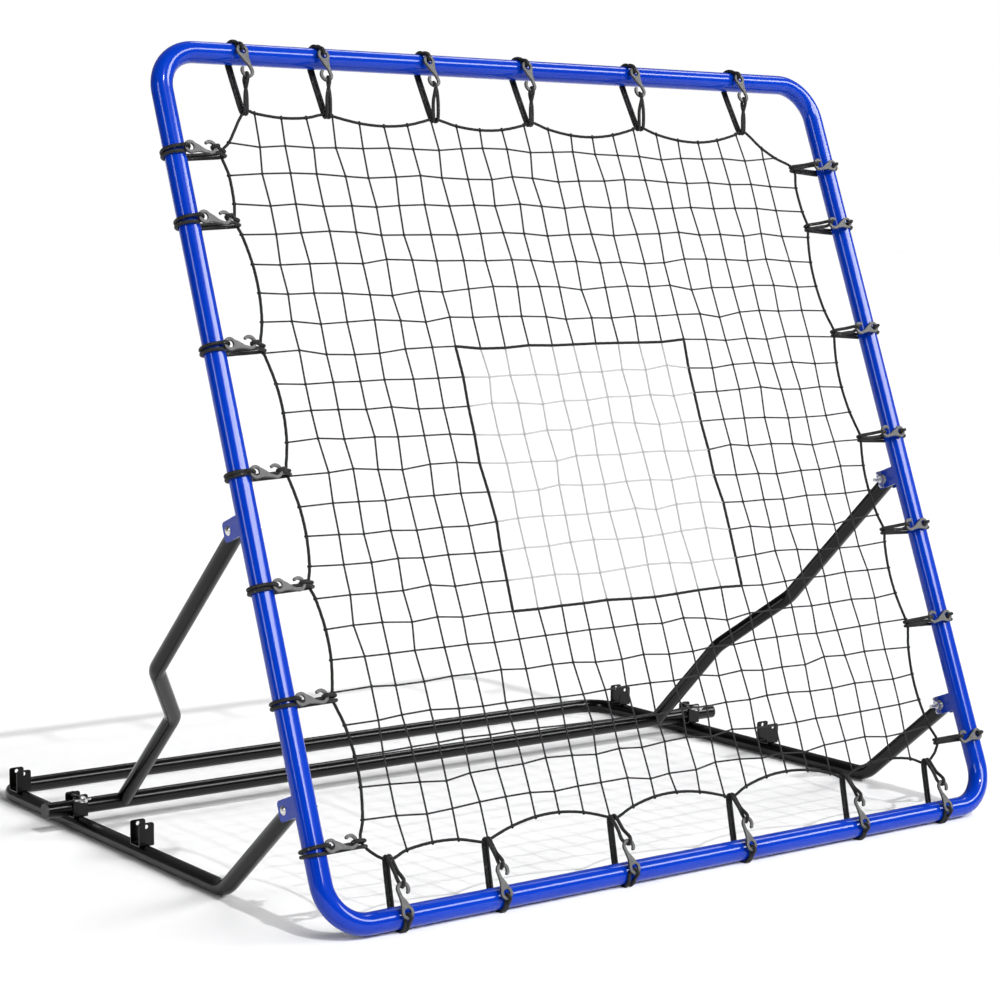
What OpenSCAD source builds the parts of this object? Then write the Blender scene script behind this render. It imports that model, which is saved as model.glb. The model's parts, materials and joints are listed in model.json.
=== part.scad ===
/* [Front frame] */
// Outer diameter of the front frame tube
frame_tube_d = 32; // [25:1:38]
// Width of the front frame between tube centres
frame_w = 1280; // [1100:10:1500]
// Height of the front frame between tube centres
frame_h = 1274; // [1240:2:1290]
// Centreline radius of the front frame corners
frame_bend_r = 64; // [50:1:80]
// Backward lean of the front frame in degrees
lean = 21.6; // [18:0.1:24]
// Gap that the ties under the bottom tube leave between it and the floor
frame_lift = 3; // [2:0.5:4]

/* [Base] */
// Outer diameter of the base and support tubes
base_tube_d = 25; // [22:1:28]
// Distance from the bottom tube to the rear bar, between centres
base_depth = 1026; // [1000:1:1100]
// Centreline radius of the two rear corners
rear_bend_r = 57; // [50:1:60]
// Distance from the bottom tube to where the rails turn up
riser_y = 278; // [260:1:300]
// Centreline radius of the bend into the risers
riser_bend_r = 60; // [45:1:80]
// Distances from the bottom tube to the three pairs of seats
seat_ys = [528, 746, 952]; // [500:1:960]

/* [Support] */
// Half length of the crossbar
crossbar_half = 696; // [680:1:720]
// Sideways place of the lower part of each arm
arm_low_x = 558; // [540:1:580]
// Distance along each arm to the start of the jog
jog_start = 236; // [200:1:260]
// Distance along each arm to the end of the jog
jog_end = 374; // [350:1:400]
// Length of the stub on the crossbar
stub_l = 56; // [45:1:70]

/* [Pivots] */
// Height of the lower pivots along the front frame
low_pivot_s = 172; // [160:1:180]
// Height of the upper pivots along the front frame
high_pivot_s = 566; // [540:1:590]
// Distance of the pivots behind the front frame's tube centres
pivot_back = 32; // [31:1:34]
// Diameter of every bolt
bolt_d = 6; // [5:1:6]

/* [Net] */
// Size of one square of the net
mesh_size = 45; // [45:1:45]
// Number of cords each way
cord_count = 23; // [23:1:23]
// Diameter of the net cords
cord_d = 2.4; // [2:0.1:2.6]
// Diameter of the border ropes
rope_d = 4; // [3.5:0.1:4.5]
// Diameter of the elastic tie cord
tie_d = 5.5; // [5:0.1:6]
// Places of the top ties along the top tube
top_xs = [-508, -368, -176, 14, 236, 466]; // [-520:1:520]
// Places of the bottom ties along the bottom tube
bottom_xs = [-528, -361, -129, 100, 340, 528]; // [-540:1:540]
// Places of the side ties up the side tubes
side_ss = [110, 312, 472, 634, 821, 1011, 1117]; // [100:1:1130]

/* [Hidden] */

$fn = 48;
frame_r = frame_tube_d / 2;
base_r = base_tube_d / 2;
wall = 1.2;
bore_past = 1;
bend_over = 0.6;
bend_step = 0.05;
weld_gap = 0.03;
stub_gap = 0.4;
neck_l = 40;
neck_fit = 0.15;
half_w = frame_w / 2;
frame_z = frame_r + frame_lift;
bolt_r = bolt_d / 2;
bolt_fit = 0.08;
seat_hole_r = bolt_r + 0.3;

// Seats: the floor of each is a hair above the rail that it is welded to
seat_gap = base_tube_d + 0.5;
seat_t = 2;
seat_w = 25;
seat_floor = base_tube_d + 0.5;
seat_top = 60;
seat_bolt_z = 54;
seat_round = 4;
seat_bend = 1;
retaining_bolt_l = 48;

// The floor is z = 0 and the origin is the middle of the outline on the floor
tie_pitch_r = frame_r + 0.2 + tie_d / 2;
front_reach = tie_pitch_r + tie_d / 2;
rear_reach = base_depth + base_r;
frame_y = -(rear_reach - front_reach) / 2;

// Pivot centres in the side view
low_y = frame_y + low_pivot_s * sin(lean) + pivot_back * cos(lean);
low_z = frame_z + low_pivot_s * cos(lean) - pivot_back * sin(lean);
high_y = frame_y + high_pivot_s * sin(lean) + pivot_back * cos(lean);
high_z = frame_z + high_pivot_s * cos(lean) - pivot_back * sin(lean);

// Crossbar and arms
crossbar_y = frame_y + seat_ys[1];
crossbar_z = seat_floor + base_r;
arm_l = norm([crossbar_y - high_y, high_z - crossbar_z]);
arm_tilt = atan2(crossbar_y - high_y, high_z - crossbar_z);
arm_bend_r = 40;
arm_past = 8;
jog_w = half_w - arm_low_x;
jog_angle = atan2(jog_w, jog_end - jog_start);
crossbar_seam = 32;
cap_t = 3;
cap_plug_l = 12;

// Base rails
riser_angle = atan2(low_z - base_r, riser_y + frame_y - low_y);
riser_l = norm([low_z - base_r, riser_y + frame_y - low_y]);
riser_past = 8;
rail_neck_l = 13;

// Pivot hardware
ear_gap = base_tube_d + 1;
ear_t = 3;
ear_half_h = 15;
ear_round = 6;
ear_past = 13;
head_r = 7;
head_h = 3.4;
dome_r = 8.5;
washer_r = 8;
washer_t = 1.2;
pivot_bolt_l = 54;
nut_r = 5.5;
nut_h = 7;
wing_out = 14;
wing_low = 1;
wing_r = 4;
wing_top = 11;
wing_t = 2.4;
air = 0.3;

// Ties and hooks
tie_band_w = 2 * tie_d;
rope_r = rope_d / 2;
rope_ring_r = rope_r + 0.3 + tie_d / 2;
hook_t = 4;
hook_n = -(frame_r + 0.4 + hook_t / 2);
hook_eye_r = 10;
hook_eye_hole_r = 5.5;
hook_reach = 32;
hook_out_r = 11;
hook_in_r = 6;
hook_end_gap = 1;
hook_neck = 3;
side_gap = 76;
top_gap = 89;
bottom_gap = 80;
top_eye = 4;
bottom_eye = 4;
left_eye = 15;
right_eye = -12;

// Net
net_x = half_w - side_gap;
net_top = frame_h - top_gap;
net_bottom = bottom_gap;
first_row = 138;
first_col = -mesh_size * (cord_count - 1) / 2;
target_cols = [6, 16];
target_rows = [6, 15];
rope_sag = 0.13;
rope_steps = 6;
rope_sides = 8;
layer = cord_d / 2 + 0.1;
rope_clear = rope_r + 0.2;

function col_x(i) = first_col + i * mesh_size;
function row_s(i) = first_row + i * mesh_size;
function reversed(list) = [for (i = [len(list) - 1:-1:0]) list[i]];

// Tie points of the border rope, going round from the top left
rope_ties = concat(
    [for (x = top_xs) [x, net_top]],
    [for (s = reversed(side_ss)) [net_x, s]],
    [for (x = reversed(bottom_xs)) [x, net_bottom]],
    [for (s = side_ss) [-net_x, s]]
);

// One scallop from tie a to tie b, sagging towards the middle of the net
function inward(a, b) = let (d = b - a) [d[1], -d[0]] / norm(d);
function scallop(a, b, t) = a + t * (b - a) + inward(a, b) * rope_sag * 4 * t * (1 - t) * norm(b - a);
rope_route = [
    for (i = [0:len(rope_ties) - 1])
        for (k = [0:rope_steps - 1])
            scallop(rope_ties[i], rope_ties[(i + 1) % len(rope_ties)], k / rope_steps)
];

// Places where a straight cord at c meets the rope, along axis 0 (upright) or 1 (level).
// Each is [place, how far before it the cord stops to stay clear of the slanting rope].
function crossings(c, axis) = [
    for (i = [0:len(rope_route) - 1])
        let (p = rope_route[i], q = rope_route[(i + 1) % len(rope_route)], d = q - p)
            if ((p[axis] < c) != (q[axis] < c))
                [
                    p[1 - axis] + d[1 - axis] * (c - p[axis]) / d[axis],
                    (rope_clear * norm(d) + cord_d / 2 * abs(d[1 - axis])) / abs(d[axis])
                ]
];
function first_end(ends) = min([for (e = ends) e[0] + e[1]]);
function last_end(ends) = max([for (e = ends) e[0] - e[1]]);

module in_frame() {
    translate([0, frame_y, frame_z])
        rotate([-lean, 0, 0])
            children();
}

module in_support() {
    translate([0, crossbar_y, crossbar_z])
        rotate([arm_tilt, 0, 0])
            children();
}

module on_side(side) {
    if (side < 0)
        mirror([1, 0, 0])
            children();
    else
        children();
}

// A rod of straight lengths and bends from the origin along +Z, bending towards +X.
// Each step is [length, bend angle, bend radius]. Each bend is a hair thinner than the
// straight lengths and runs a little way into them.
module run(steps, r, i = 0) {
    if (i < len(steps)) {
        turn = steps[i][1];
        radius = steps[i][2] * sign(turn);
        cylinder(h = steps[i][0], r = r);
        translate([0, 0, steps[i][0]])
            if (turn != 0) {
                translate([radius, 0, 0])
                    rotate([90, 0, 0])
                        rotate([0, 0, (turn > 0 ? 180 - turn : 0) - bend_over])
                            rotate_extrude(angle = abs(turn) + 2 * bend_over)
                                translate([abs(radius), 0])
                                    circle(r = r - bend_step);
                translate([radius, 0, 0])
                    rotate([0, turn, 0])
                        translate([-radius, 0, 0])
                            run(steps, r, i + 1);
            }
            else
                run(steps, r, i + 1);
    }
}

// Puts the children at the far end of a run, with +Z pointing on from it
module at_end(steps, i = 0) {
    if (i < len(steps)) {
        radius = steps[i][2] * sign(steps[i][1]);
        translate([radius, 0, steps[i][0]])
            rotate([0, steps[i][1], 0])
                translate([-radius, 0, 0])
                    at_end(steps, i + 1)
                        children();
    }
    else
        children();
}

// A reduced neck that plugs into the next tube, and the bore through it
module neck(l, r) {
    if (l > 0)
        translate([0, 0, -bore_past])
            cylinder(h = l + bore_past, r = r - wall - neck_fit);
}

module neck_bore(l, r) {
    if (l > 0)
        translate([0, 0, -wall - bore_past])
            cylinder(h = l + wall + 2 * bore_past, r = r - 2 * wall - neck_fit);
}

// A tube along a run, with a neck of each length in necks at its start and its end. The
// bore stops a wall's thickness short of a neck, and runs past an end that has none.
module bent_tube(steps, r, necks = [0, 0]) {
    last = len(steps) - 1;
    from_start = necks[0] > 0 ? wall : -bore_past;
    from_end = necks[1] > 0 ? wall : -bore_past;
    bore = [
        for (i = [0:last])
            [
                steps[i][0] - (i == 0 ? from_start : 0) - (i == last ? from_end : 0),
                steps[i][1],
                steps[i][2]
            ]
    ];
    difference() {
        union() {
            run(steps, r);
            rotate([180, 0, 0])
                neck(necks[0], r);
            at_end(steps)
                neck(necks[1], r);
        }
        translate([0, 0, from_start])
            run(bore, r - wall);
        rotate([180, 0, 0])
            neck_bore(necks[0], r);
        at_end(steps)
            neck_bore(necks[1], r);
    }
}

module straight_tube(l, r) {
    difference() {
        cylinder(h = l, r = r);
        translate([0, 0, -bore_past])
            cylinder(h = l + 2 * bore_past, r = r - wall);
    }
}

// Front frame

module level_tube(x0, x1, s) {
    in_frame()
        translate([x0, 0, s])
            rotate([0, 90, 0])
                straight_tube(x1 - x0, frame_r);
}

module frame_top_tube() {
    color("royalblue")
        level_tube(top_xs[0], top_xs[5], frame_h);
}

module frame_bottom_tube() {
    color("royalblue")
        level_tube(bottom_xs[0], bottom_xs[5], 0);
}

module side_tube(side) {
    color("royalblue")
        in_frame()
            translate([side * half_w, 0, side_ss[0]])
                straight_tube(side_ss[6] - side_ss[0], frame_r);
}

module frame_left_tube() { side_tube(-1); }
module frame_right_tube() { side_tube(1); }

// A corner that plugs into a side tube and a level tube. up is the length of its upright
// leg and along is the length of its level leg.
module corner(up, along) {
    bent_tube(
        [[up - frame_bend_r, 90, frame_bend_r], [along - frame_bend_r, 0, 0]],
        frame_r, [neck_l, neck_l]
    );
}

module top_corner(side, tie_x) {
    color("royalblue")
        in_frame()
            translate([side * half_w, 0, side_ss[6]])
                on_side(-side)
                    corner(frame_h - side_ss[6], half_w - abs(tie_x));
}

module bottom_corner(side, tie_x) {
    color("royalblue")
        in_frame()
            translate([side * half_w, 0, side_ss[0]])
                mirror([0, 0, 1])
                    on_side(-side)
                        corner(side_ss[0], half_w - abs(tie_x));
}

module corner_top_left() { top_corner(-1, top_xs[0]); }
module corner_top_right() { top_corner(1, top_xs[5]); }
module corner_bottom_left() { bottom_corner(-1, bottom_xs[0]); }
module corner_bottom_right() { bottom_corner(1, bottom_xs[5]); }

// Pivot brackets: a pair of ears welded behind a side tube

module ear_outline() {
    // u runs backwards from the tube's centre, v runs up the tube
    far = pivot_back + ear_past;
    translate([0, -ear_half_h])
        square([far - ear_round, 2 * ear_half_h]);
    translate([0, -ear_half_h + ear_round])
        square([far, 2 * (ear_half_h - ear_round)]);
    for (v = [-1, 1])
        translate([far - ear_round, v * (ear_half_h - ear_round)])
            circle(r = ear_round);
}

module pivot_bracket(side, s) {
    color("royalblue")
        in_frame()
            translate([side * half_w, 0, s])
                difference() {
                    for (k = [-1, 1])
                        translate([k * (ear_gap + ear_t) / 2 - ear_t / 2, 0, 0])
                            rotate([90, 0, 90])
                                linear_extrude(ear_t)
                                    difference() {
                                        ear_outline();
                                        translate([pivot_back, 0])
                                            circle(r = bolt_r + bolt_fit);
                                    }
                    translate([0, 0, -2 * ear_half_h])
                        cylinder(h = 4 * ear_half_h, r = frame_r + weld_gap);
                }
}

module pivot_bracket_upper_left() { pivot_bracket(-1, high_pivot_s); }
module pivot_bracket_upper_right() { pivot_bracket(1, high_pivot_s); }
module pivot_bracket_lower_left() { pivot_bracket(-1, low_pivot_s); }
module pivot_bracket_lower_right() { pivot_bracket(1, low_pivot_s); }

// Fasteners. Each stands on its seat at the origin, with its axis along Z

module carriage_bolt(l) {
    cylinder(h = l, r = bolt_r);
    translate([0, 0, -head_h])
        intersection() {
            cylinder(h = head_h, r = head_r);
            translate([0, 0, dome_r])
                sphere(r = dome_r);
        }
}

module wing_nut() {
    difference() {
        union() {
            cylinder(h = nut_h, r = nut_r);
            translate([-wing_out, -wing_t / 2, wing_low])
                cube([2 * wing_out, wing_t, wing_top - wing_r - wing_low]);
            for (k = [-1, 1])
                translate([k * (wing_out - wing_r), -wing_t / 2, wing_top - wing_r])
                    rotate([-90, 0, 0])
                        cylinder(h = wing_t, r = wing_r);
        }
        translate([0, 0, -bore_past])
            cylinder(h = wing_top + 2 * bore_past, r = bolt_r + bolt_fit);
        translate([0, 0, nut_h])
            cylinder(h = wing_top, r = nut_r);
    }
}

module washer() {
    difference() {
        cylinder(h = washer_t, r = washer_r);
        translate([0, 0, -bore_past])
            cylinder(h = washer_t + 2 * bore_past, r = bolt_r + 2 * bolt_fit);
    }
}

// At a pivot, +Z of the children points from the outside of the frame to its middle
module at_pivot(side, s, depth) {
    in_frame()
        translate([side * (half_w + ear_gap / 2 + ear_t - depth), pivot_back, s])
            rotate([0, -side * 90, 0])
                children();
}

module pivot_bolts(s) {
    color("silver")
        for (side = [-1, 1])
            at_pivot(side, s, 0)
                carriage_bolt(pivot_bolt_l);
}

module pivot_washers(s) {
    color("silver")
        for (side = [-1, 1])
            at_pivot(side, s, ear_gap + 2 * ear_t + weld_gap)
                washer();
}

module pivot_nut(side, s) {
    color("silver")
        at_pivot(side, s, ear_gap + 2 * ear_t + washer_t + air)
            wing_nut();
}

module pivot_bolts_upper() { pivot_bolts(high_pivot_s); }
module pivot_bolts_lower() { pivot_bolts(low_pivot_s); }
module pivot_washers_upper() { pivot_washers(high_pivot_s); }
module pivot_washers_lower() { pivot_washers(low_pivot_s); }
module wing_nut_upper_left() { pivot_nut(-1, high_pivot_s); }
module wing_nut_upper_right() { pivot_nut(1, high_pivot_s); }
module wing_nut_lower_left() { pivot_nut(-1, low_pivot_s); }
module wing_nut_lower_right() { pivot_nut(1, low_pivot_s); }

// Base

module base_rear_bar() {
    leg = base_depth - rear_bend_r - seat_ys[2];
    bar = frame_w - 2 * rear_bend_r;
    color([0.06, 0.06, 0.07])
        translate([-half_w, frame_y + seat_ys[2], base_r])
            rotate([-90, 0, 0])
                bent_tube([[leg, 90, rear_bend_r], [bar, 90, rear_bend_r], [leg, 0, 0]], base_r);
}

module rail(side) {
    tangent = riser_bend_r * tan(riser_angle / 2);
    steps = [
        [seat_ys[2] - riser_y - tangent, riser_angle, riser_bend_r],
        [riser_l + riser_past - tangent, 0, 0]
    ];
    color([0.06, 0.06, 0.07])
        difference() {
            translate([side * half_w, frame_y + seat_ys[2], base_r])
                rotate([0, 0, -90])
                    rotate([0, 90, 0])
                        rotate([0, 0, 180])
                            bent_tube(steps, base_r, [rail_neck_l, 0]);
            translate([side * half_w, low_y, low_z])
                rotate([0, 90, 0])
                    cylinder(h = 2 * base_tube_d, r = bolt_r + bolt_fit, center = true);
        }
}

module base_left_rail() { rail(-1); }
module base_right_rail() { rail(1); }

// The seat's U, drawn along the rail, and its silhouette, drawn across the rail
module seat_profile() {
    half = seat_gap / 2;
    difference() {
        rounded_foot(half + seat_t, seat_floor - seat_t, seat_bend + seat_t, seat_top);
        rounded_foot(half, seat_floor, seat_bend, seat_top + air);
    }
}

// A block from z = low to z = top, with rounded bottom corners
module rounded_foot(half, low, r, top) {
    translate([-half, low + r])
        square([2 * half, top - low - r]);
    translate([-half + r, low])
        square([2 * (half - r), 2 * r]);
    for (k = [-1, 1])
        translate([k * (half - r), low + r])
            circle(r = r);
}

module seat_silhouette() {
    translate([-seat_w / 2, 0])
        square([seat_w, seat_top - seat_round]);
    translate([-seat_w / 2 + seat_round, 0])
        square([seat_w - 2 * seat_round, seat_top]);
    for (k = [-1, 1])
        translate([k * (seat_w / 2 - seat_round), seat_top - seat_round])
            circle(r = seat_round);
}

module seat(side, y, hole_r) {
    color([0.05, 0.05, 0.06])
        translate([side * half_w, frame_y + y, 0])
            difference() {
                intersection() {
                    rotate([90, 0, 90])
                        linear_extrude(2 * seat_w, center = true)
                            seat_profile();
                    rotate([90, 0, 0])
                        linear_extrude(2 * seat_gap, center = true)
                            seat_silhouette();
                }
                translate([0, 0, seat_bolt_z])
                    rotate([90, 0, 0])
                        cylinder(h = 2 * seat_gap, r = hole_r, center = true);
                translate([0, 0, base_r])
                    rotate([90, 0, 0])
                        cylinder(h = 2 * seat_gap, r = base_r + weld_gap, center = true);
            }
}

module seat_front_left() { seat(-1, seat_ys[0], seat_hole_r); }
module seat_front_right() { seat(1, seat_ys[0], seat_hole_r); }
module seat_middle_left() { seat(-1, seat_ys[1], bolt_r + bolt_fit); }
module seat_middle_right() { seat(1, seat_ys[1], bolt_r + bolt_fit); }
module seat_rear_left() { seat(-1, seat_ys[2], seat_hole_r); }
module seat_rear_right() { seat(1, seat_ys[2], seat_hole_r); }

// At a middle seat, +Z of the children points forwards through both ears
module at_seat(side, depth) {
    translate([side * half_w, crossbar_y + seat_gap / 2 + seat_t - depth, seat_bolt_z])
        rotate([90, 0, 0])
            children();
}

module retaining_bolts() {
    color("silver")
        for (side = [-1, 1])
            at_seat(side, 0)
                carriage_bolt(retaining_bolt_l);
}

module retaining_nut(side) {
    color("silver")
        at_seat(side, seat_gap + 2 * seat_t + air)
            wing_nut();
}

module retaining_nut_left() { retaining_nut(-1); }
module retaining_nut_right() { retaining_nut(1); }

// Support frame

module at_crossbar(x) {
    translate([x, crossbar_y, crossbar_z])
        rotate([0, 90, 0])
            children();
}

module crossbar_left() {
    color([0.06, 0.06, 0.07])
        at_crossbar(-crossbar_half + cap_t)
            straight_tube(crossbar_half - cap_t + crossbar_seam, base_r);
}

module crossbar_right() {
    color([0.06, 0.06, 0.07])
        at_crossbar(crossbar_seam)
            bent_tube([[crossbar_half - cap_t - crossbar_seam, 0, 0]], base_r, [neck_l, 0]);
}

module crossbar_cap(side) {
    color([0.1, 0.1, 0.1])
        translate([side * crossbar_half, crossbar_y, crossbar_z])
            rotate([0, -side * 90, 0]) {
                cylinder(h = cap_t - weld_gap, r = base_r);
                cylinder(h = cap_t + cap_plug_l, r = base_r - wall - neck_fit);
            }
}

module crossbar_cap_left() { crossbar_cap(-1); }
module crossbar_cap_right() { crossbar_cap(1); }

module arm_stub(side) {
    color([0.06, 0.06, 0.07])
        in_support()
            translate([side * arm_low_x, 0, 0])
                difference() {
                    bent_tube([[stub_l, 0, 0]], base_r, [0, neck_l]);
                    rotate([0, 90, 0])
                        cylinder(h = 2 * base_tube_d, r = base_r + stub_gap, center = true);
                }
}

module arm_stub_left() { arm_stub(-1); }
module arm_stub_right() { arm_stub(1); }

module arm(side) {
    tangent = arm_bend_r * tan(jog_angle / 2);
    jog_l = norm([jog_w, jog_end - jog_start]);
    color([0.06, 0.06, 0.07])
        in_support()
            difference() {
                translate([side * arm_low_x, 0, stub_l])
                    on_side(side)
                        bent_tube([
                            [jog_start - stub_l - tangent, jog_angle, arm_bend_r],
                            [jog_l - 2 * tangent, -jog_angle, arm_bend_r],
                            [arm_l - jog_end - tangent + arm_past, 0, 0]
                        ], base_r);
                translate([side * half_w, 0, arm_l])
                    rotate([0, 90, 0])
                        cylinder(h = 2 * base_tube_d, r = bolt_r + bolt_fit, center = true);
            }
}

module arm_left() { arm(-1); }
module arm_right() { arm(1); }

// Ties. In the outline, u runs from the tube's centre towards the net and v runs
// towards the back of the frame.

module strip(p, q) {
    side = [p[1] - q[1], q[0] - p[0]] / norm(q - p) * tie_d / 2;
    polygon([p - side, q - side, q + side, p + side]);
}

module half_ring(r, side) {
    intersection() {
        difference() {
            circle(r = r + tie_d / 2);
            circle(r = r - tie_d / 2);
        }
        translate([side > 0 ? 0 : -2 * r, -2 * r])
            square([2 * r, 4 * r]);
    }
}

// Behind, the cord runs straight from the tube to the rope and touches both. In front,
// it ends at the hook's eye and goes on from the open end of the hook.
module tie_outline(gap, eye) {
    hook_u = eye + hook_reach;
    slope = asin((tie_pitch_r - rope_ring_r) / gap);
    difference() {
        union() {
            half_ring(tie_pitch_r, -1);
            strip([0, tie_pitch_r / cos(slope)], [gap, rope_ring_r / cos(slope)]);
            strip([0, -tie_pitch_r], [max(eye, 1), -tie_pitch_r]);
            translate([gap, 0])
                half_ring(rope_ring_r, 1);
            strip([hook_u + hook_out_r, -tie_pitch_r], [gap, -rope_ring_r]);
        }
        translate([eye - hook_eye_r - hook_end_gap, -3 * frame_r])
            square([hook_reach + hook_eye_r + hook_out_r + 2 * hook_end_gap, 2 * frame_r]);
    }
}

// The closed eye is at the origin and the open hook lies along +u
module hook_outline() {
    tip_r = (hook_out_r - hook_in_r) / 2;
    difference() {
        union() {
            circle(r = hook_eye_r);
            polygon([
                [hook_neck, -hook_eye_r + 1], [hook_reach, -hook_out_r],
                [hook_reach, -hook_in_r], [2 * hook_eye_hole_r, hook_neck], [hook_neck, hook_eye_r - 1]
            ]);
            translate([hook_reach, 0])
                difference() {
                    circle(r = hook_out_r);
                    circle(r = hook_in_r);
                    translate([-2 * hook_out_r, 0])
                        square([2 * hook_out_r, 2 * hook_out_r]);
                }
            translate([hook_reach, hook_in_r + tip_r])
                circle(r = tip_r);
        }
        circle(r = hook_eye_hole_r);
    }
}

// Puts the children's u, v and w axes at a tie: u towards the net, w along the tube
module at_tie(point, turn) {
    in_frame()
        translate([point[0], 0, point[1]])
            rotate([0, turn, 0])
                children();
}

module tie_band(gap, eye) {
    rotate([0, -90, 0])
        translate([0, 0, -tie_band_w / 2])
            linear_extrude(tie_band_w)
                tie_outline(gap, eye);
}

module tie_hook(eye) {
    translate([0, hook_n + hook_t / 2, eye])
        rotate([90, -90, 0])
            linear_extrude(hook_t)
                hook_outline();
}

// Turns +Z of the children towards the net on each side of the frame
top_turn = 180;
bottom_turn = 0;
left_turn = 90;
right_turn = -90;

module ties_top() {
    color([0.08, 0.08, 0.08])
        for (x = top_xs)
            at_tie([x, frame_h], top_turn)
                tie_band(top_gap, top_eye);
}

// The bottom ties are pressed flat where the frame stands on them
module ties_bottom() {
    color([0.08, 0.08, 0.08])
        difference() {
            for (x = bottom_xs)
                at_tie([x, 0], bottom_turn)
                    tie_band(bottom_gap, bottom_eye);
            translate([-half_w, frame_y - frame_tube_d, -frame_tube_d])
                cube([frame_w, 2 * frame_tube_d, frame_tube_d]);
        }
}

module ties_left() {
    color([0.08, 0.08, 0.08])
        for (s = side_ss)
            at_tie([-half_w, s], left_turn)
                tie_band(side_gap, left_eye);
}

module ties_right() {
    color([0.08, 0.08, 0.08])
        for (s = side_ss)
            at_tie([half_w, s], right_turn)
                tie_band(side_gap, right_eye);
}

module hooks_top() {
    color([0.5, 0.5, 0.5])
        for (x = top_xs)
            at_tie([x, frame_h], top_turn)
                on_side(-1)
                    tie_hook(top_eye);
}

module hooks_bottom() {
    color([0.5, 0.5, 0.5])
        for (x = bottom_xs)
            at_tie([x, 0], bottom_turn)
                on_side(-1)
                    tie_hook(bottom_eye);
}

module hooks_left() {
    color([0.5, 0.5, 0.5])
        for (s = side_ss)
            at_tie([-half_w, s], left_turn)
                tie_hook(left_eye);
}

module hooks_right() {
    color([0.5, 0.5, 0.5])
        for (s = side_ss)
            at_tie([half_w, s], right_turn)
                on_side(-1)
                    tie_hook(right_eye);
}

// Net

module net_border_rope() {
    n = len(rope_route);
    ring = [for (k = [0:rope_sides - 1]) 360 * k / rope_sides];
    points = [
        for (i = [0:n - 1])
            let (
                p = rope_route[i],
                d = rope_route[(i + 1) % n] - rope_route[(i + n - 1) % n],
                side = [d[1], -d[0]] / norm(d)
            )
                for (a = ring)
                    [p[0] + side[0] * rope_r * cos(a), rope_r * sin(a), p[1] + side[1] * rope_r * cos(a)]
    ];
    faces = [
        for (i = [0:n - 1])
            for (k = [0:rope_sides - 1])
                let (j = (i + 1) % n, m = (k + 1) % rope_sides)
                    [i * rope_sides + k, j * rope_sides + k, j * rope_sides + m, i * rope_sides + m]
    ];
    color([0.05, 0.05, 0.05])
        in_frame()
            polyhedron(points = points, faces = faces);
}

module upright_cord(x, s0, s1) {
    in_frame()
        translate([x, -layer, s0])
            cylinder(h = s1 - s0, r = cord_d / 2, $fn = 24);
}

module level_cord(s, x0, x1) {
    in_frame()
        translate([x0, layer, s])
            rotate([0, 90, 0])
                cylinder(h = x1 - x0, r = cord_d / 2, $fn = 24);
}

function crosses(i, ends) = i >= ends[0] && i <= ends[1];
target_s = [row_s(target_rows[0]), row_s(target_rows[1])];
target_x = [col_x(target_cols[0]), col_x(target_cols[1])];

module net_cords_upright() {
    color([0.25, 0.25, 0.25])
        for (i = [0:cord_count - 1]) {
            ends = crossings(col_x(i), 0);
            low = first_end(ends);
            high = last_end(ends);
            if (crosses(i, target_cols)) {
                upright_cord(col_x(i), low, target_s[0] - rope_clear);
                upright_cord(col_x(i), target_s[1] + rope_clear, high);
            }
            else
                upright_cord(col_x(i), low, high);
        }
}

module net_cords_level() {
    color([0.25, 0.25, 0.25])
        for (i = [0:cord_count - 1]) {
            ends = crossings(row_s(i), 1);
            low = first_end(ends);
            high = last_end(ends);
            if (crosses(i, target_rows)) {
                level_cord(row_s(i), low, target_x[0] - rope_clear);
                level_cord(row_s(i), target_x[1] + rope_clear, high);
            }
            else
                level_cord(row_s(i), low, high);
        }
}

// The target's rope lies round the outside of its edge cords
module target_outline(edge) {
    translate([target_x[0] - edge, target_s[0] - edge])
        square([target_x[1] - target_x[0] + 2 * edge, target_s[1] - target_s[0] + 2 * edge]);
}

module target_border() {
    color([0.05, 0.05, 0.05])
        in_frame()
            rotate([90, 0, 0])
                linear_extrude(rope_d, center = true)
                    difference() {
                        target_outline(rope_r);
                        target_outline(-rope_r);
                    }
}

module target_cords_upright() {
    color([0.8, 0.8, 0.8])
        for (i = [target_cols[0] + 1:target_cols[1] - 1])
            upright_cord(col_x(i), target_s[0] + rope_clear, target_s[1] - rope_clear);
}

module target_cords_level() {
    color([0.8, 0.8, 0.8])
        for (i = [target_rows[0] + 1:target_rows[1] - 1])
            level_cord(row_s(i), target_x[0] + rope_clear, target_x[1] - rope_clear);
}

frame_top_tube();
frame_bottom_tube();
frame_left_tube();
frame_right_tube();
corner_top_left();
corner_top_right();
corner_bottom_left();
corner_bottom_right();
pivot_bracket_upper_left();
pivot_bracket_upper_right();
pivot_bracket_lower_left();
pivot_bracket_lower_right();
pivot_bolts_upper();
pivot_bolts_lower();
pivot_washers_upper();
pivot_washers_lower();
wing_nut_upper_left();
wing_nut_upper_right();
wing_nut_lower_left();
wing_nut_lower_right();
base_rear_bar();
base_left_rail();
base_right_rail();
seat_front_left();
seat_front_right();
seat_middle_left();
seat_middle_right();
seat_rear_left();
seat_rear_right();
retaining_bolts();
retaining_nut_left();
retaining_nut_right();
crossbar_left();
crossbar_right();
crossbar_cap_left();
crossbar_cap_right();
arm_stub_left();
arm_stub_right();
arm_left();
arm_right();
ties_top();
ties_bottom();
ties_left();
ties_right();
hooks_top();
hooks_bottom();
hooks_left();
hooks_right();
net_border_rope();
net_cords_upright();
net_cords_level();
target_border();
target_cords_upright();
target_cords_level();
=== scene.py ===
import json
import math
import random

import bpy
import numpy as np
from mathutils import Matrix, Vector


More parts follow.
